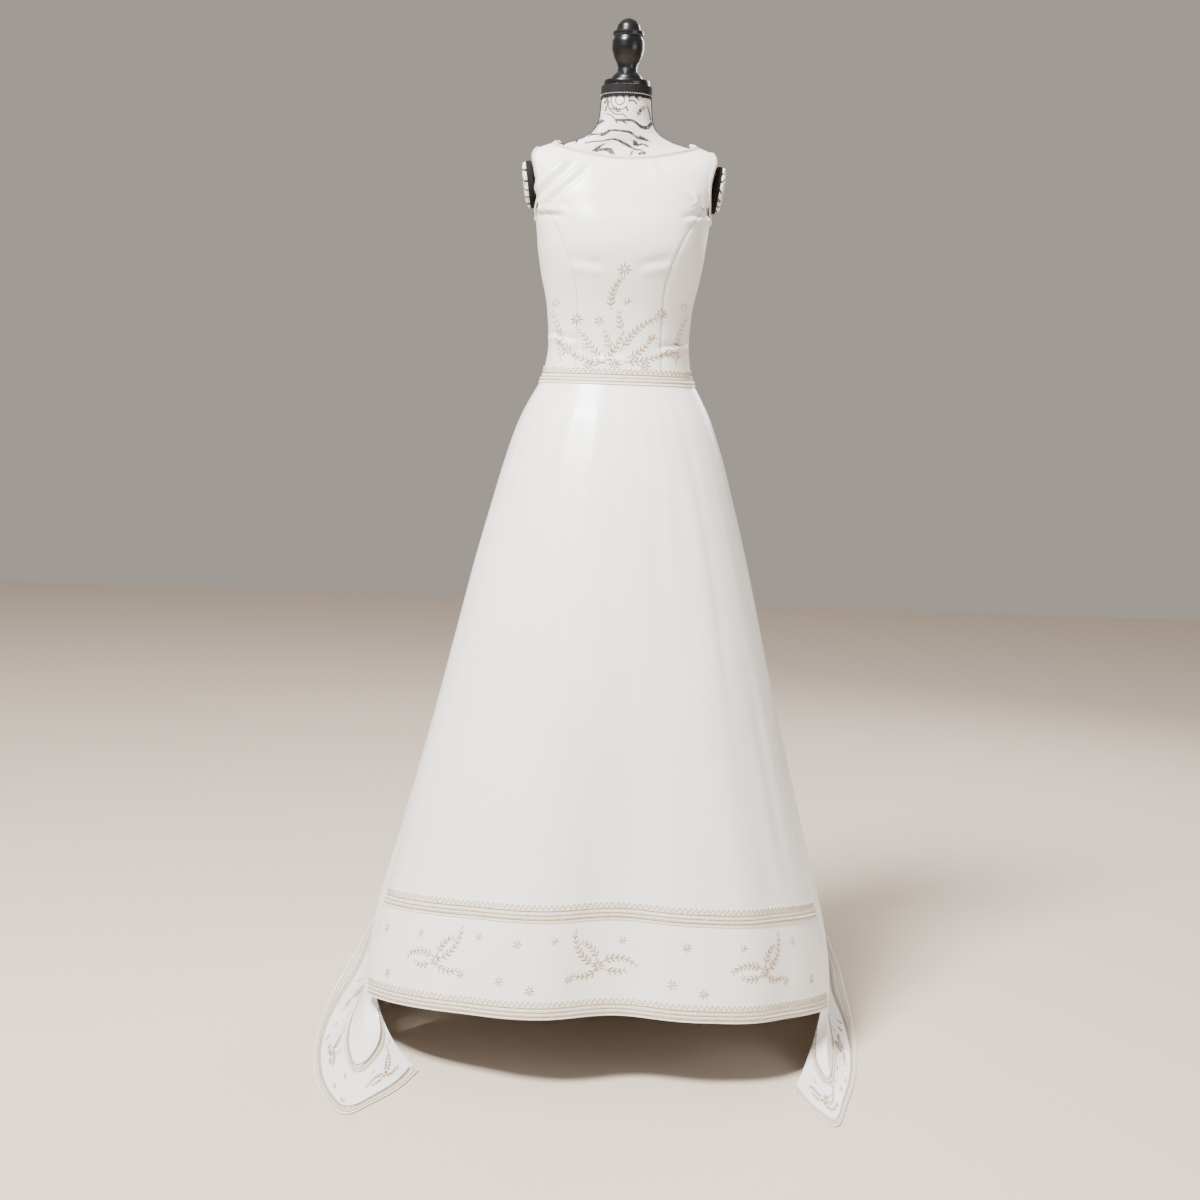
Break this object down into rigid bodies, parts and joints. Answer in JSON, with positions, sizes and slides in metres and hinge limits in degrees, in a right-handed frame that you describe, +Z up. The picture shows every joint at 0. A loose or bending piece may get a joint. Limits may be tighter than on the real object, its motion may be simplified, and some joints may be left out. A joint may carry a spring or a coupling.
{
  "type": "wedding dress on a dress form",
  "caption": "Sleeveless A-line wedding dress with a beaded hem band and a short train, worn by a limbless dress form on a pole and tripod.",
  "frame": {"origin": "centre of the flat underside of the stand's hub, on the floor under the pole", "axes": "+Z up, -Y to the front of the dress, +X to the wearer's left"},
  "size_m": [0.9662, 1.6063, 1.7835],
  "materials": {
    "ivory_satin": "heavy satin with a soft sheen",
    "beaded_braid": "corded braid set with small beads",
    "form_cover": "matt printed cotton, stretched",
    "black_ribbon": "matt woven ribbon",
    "black_lacquered_wood": "gloss black lacquer on turned wood",
    "dark_steel": "dark satin paint"
  },
  "bodies": {
    "root": {"armhole_braid_left": "beaded_braid", "armhole_braid_right": "beaded_braid", "back_placket": "ivory_satin", "band_braid_back_left": "beaded_braid", "band_braid_back_right": "beaded_braid", "band_braid_front": "beaded_braid", "bodice_back_left": "ivory_satin", "bodice_back_right": "ivory_satin", "bodice_front": "ivory_satin", "bodice_side_front_left": "ivory_satin", "bodice_side_front_right": "ivory_satin", "button_1": "ivory_satin", "button_2": "ivory_satin", "button_3": "ivory_satin", "button_4": "ivory_satin", "button_5": "ivory_satin", "button_6": "ivory_satin", "button_7": "ivory_satin", "button_8": "ivory_satin", "button_9": "ivory_satin", "form_arm_plate_left": "form_cover", "form_arm_plate_right": "form_cover", "form_arm_ring_left": "black_ribbon", "form_arm_ring_right": "black_ribbon", "form_finial": "black_lacquered_wood", "form_leg_1": "black_lacquered_wood", "form_leg_2": "black_lacquered_wood", "form_leg_3": "black_lacquered_wood", "form_neck_ribbon": "black_ribbon", "form_pole": "dark_steel", "form_pole_plate": "dark_steel", "form_stand_hub": "black_lacquered_wood", "form_torso": "form_cover", "hem_band_back_left": "ivory_satin", "hem_band_back_right": "ivory_satin", "hem_band_front": "ivory_satin", "hem_braid_back_left": "beaded_braid", "hem_braid_back_right": "beaded_braid", "hem_braid_front": "beaded_braid", "neck_braid": "beaded_braid", "skirt_back_left": "ivory_satin", "skirt_back_right": "ivory_satin", "skirt_front": "ivory_satin", "waist_braid": "beaded_braid"}
  },
  "joints": []
}
